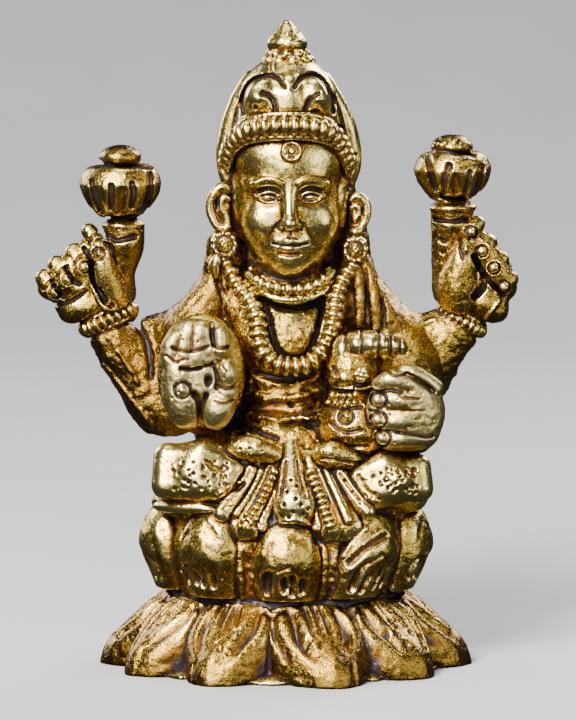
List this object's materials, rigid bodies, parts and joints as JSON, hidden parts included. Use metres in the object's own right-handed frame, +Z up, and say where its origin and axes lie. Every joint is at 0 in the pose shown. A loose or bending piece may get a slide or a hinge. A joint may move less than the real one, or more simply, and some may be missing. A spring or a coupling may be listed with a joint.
{
  "type": "hindu deity statue",
  "caption": "Seated four-armed goddess figurine in antiqued cast brass on a two-tier lotus, raised hands holding lotus buds, one palm open and one hand on a pot.",
  "frame": {"origin": "centre of the footprint on the resting plane under the lower lotus tier", "axes": "+Z up through the crown, -Y the side the figure faces, +X towards the figure's left hand side"},
  "size_m": [0.0471, 0.0323, 0.0643],
  "materials": {
    "figure_brass": "antiqued gold, black and amber wash in the hollows",
    "lotus_brass": "antiqued gold, grainy as cast, black and amber wash in the hollows",
    "ornament_brass": "antiqued gold, ridges polished",
    "rubbed_brass": "gold rubbed back to pale worn metal"
  },
  "bodies": {
    "root": {"base_skirt": "lotus_brass", "lotus_core": "lotus_brass", "torso": "figure_brass", "head": "figure_brass", "hair_mantle": "figure_brass", "right_leg": "figure_brass", "left_leg": "figure_brass", "right_back_arm": "figure_brass", "left_back_arm": "figure_brass", "right_back_hand": "figure_brass", "left_back_hand": "figure_brass", "right_lotus_bud": "ornament_brass", "left_lotus_bud": "ornament_brass", "right_bangle": "ornament_brass", "left_bangle": "ornament_brass", "right_front_arm": "figure_brass", "left_front_arm": "figure_brass", "right_front_hand": "rubbed_brass", "left_front_hand": "rubbed_brass", "pot_body": "ornament_brass", "pot_rim": "ornament_brass", "crown_dome": "figure_brass", "crown_collar": "ornament_brass", "crown_finial": "ornament_brass", "crown_band": "ornament_brass", "forehead_mark": "ornament_brass", "right_ear": "figure_brass", "left_ear": "figure_brass", "right_earring": "ornament_brass", "left_earring": "ornament_brass", "chest_panel": "ornament_brass", "choker": "ornament_brass", "garland": "ornament_brass", "right_sash": "ornament_brass", "left_sash": "ornament_brass", "centre_pleat": "ornament_brass", "right_beaded_pleat": "ornament_brass", "left_beaded_pleat": "ornament_brass", "upper_petal_01": "lotus_brass", "upper_petal_02": "lotus_brass", "upper_petal_03": "lotus_brass", "upper_petal_04": "lotus_brass", "upper_petal_05": "lotus_brass", "upper_petal_06": "lotus_brass", "upper_petal_07": "lotus_brass", "upper_petal_08": "lotus_brass", "upper_petal_09": "lotus_brass", "upper_petal_10": "lotus_brass", "lower_petal_01": "lotus_brass", "lower_petal_02": "lotus_brass", "lower_petal_03": "lotus_brass", "lower_petal_04": "lotus_brass", "lower_petal_05": "lotus_brass", "lower_petal_06": "lotus_brass", "lower_petal_07": "lotus_brass", "lower_petal_08": "lotus_brass", "lower_petal_09": "lotus_brass", "lower_petal_10": "lotus_brass", "lower_petal_11": "lotus_brass"}
  },
  "joints": []
}
